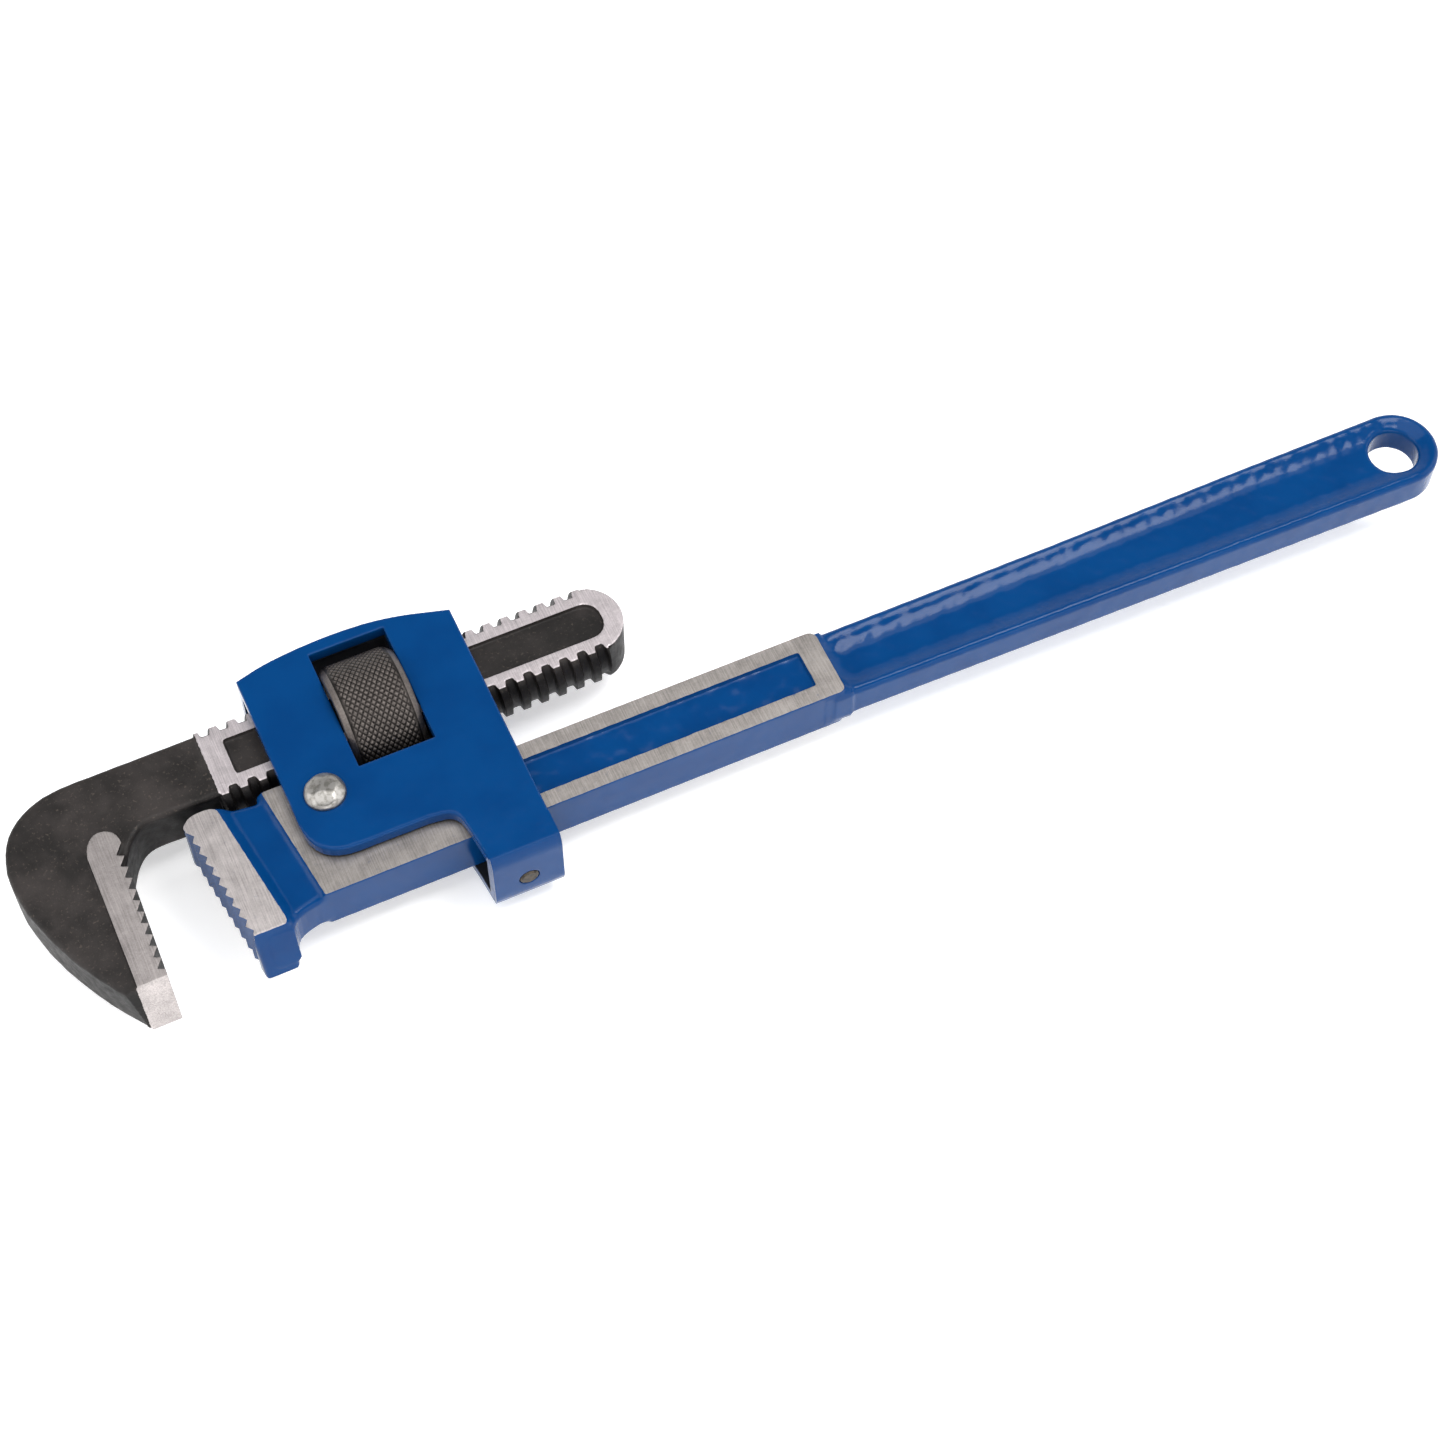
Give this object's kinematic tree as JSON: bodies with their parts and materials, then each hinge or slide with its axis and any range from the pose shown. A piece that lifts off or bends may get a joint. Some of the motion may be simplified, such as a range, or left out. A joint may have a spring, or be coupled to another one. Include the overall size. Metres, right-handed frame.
{
  "type": "pipe wrench",
  "caption": "Adjustable pipe wrench lying on its side: toothed heel jaw on a long I-section handle, sliding toothed hook jaw, knurled nut in a pivoting frame.",
  "frame": {"origin": "centre of the bounding box in X and Y, at the lowest point of the wrench lying on its side", "axes": "+X along the handle to the hang hole, +Y from the handle to the threaded shank, +Z out of the upper broad face"},
  "size_m": [0.44, 0.09, 0.037],
  "materials": {
    "blue_enamel": "glossy enamel over a forging, faces ground bright",
    "black_oxide_steel": "satin black oxide, faces ground bright",
    "knurled_steel": "satin, diamond knurl",
    "bright_steel": "hammered bright",
    "spring_steel": "oiled dark",
    "small_rivet_steel": "dull"
  },
  "bodies": {
    "handle_body": {"handle": "blue_enamel", "jaw_spring": "spring_steel", "jaw_spring_rivet": "small_rivet_steel"},
    "frame_body": {"frame": "blue_enamel", "pivot_rivet": "bright_steel", "frame_spring": "spring_steel", "frame_spring_rivet": "small_rivet_steel"},
    "hook_jaw_body": {"hook_jaw": "black_oxide_steel"},
    "nut_body": {"adjusting_nut": "knurled_steel"}
  },
  "joints": [
    {"name": "frame_pivot", "type": "hinge", "parent": "handle_body", "child": "frame_body", "pos_m": [-0.1314, -0.0037, 0.0185], "axis": [0, 0, 1], "range_deg": [-6, 1], "stiffness_Nm_per_rad": 8, "deforming": ["frame_spring", "jaw_spring"]},
    {"name": "hook_slide", "type": "slide", "parent": "frame_body", "child": "hook_jaw_body", "axis": [1, 0, 0], "range_m": [-0.038, 0.0153]},
    {"name": "nut_spin", "type": "hinge", "parent": "frame_body", "child": "nut_body", "pos_m": [-0.10825, 0.0215, 0.0185], "axis": [1, 0, 0], "range_deg": [-988, 2450]}
  ],
  "couplings": [
    {"joint": "nut_spin", "follows": "hook_slide", "rad_per_m": -1122}
  ]
}
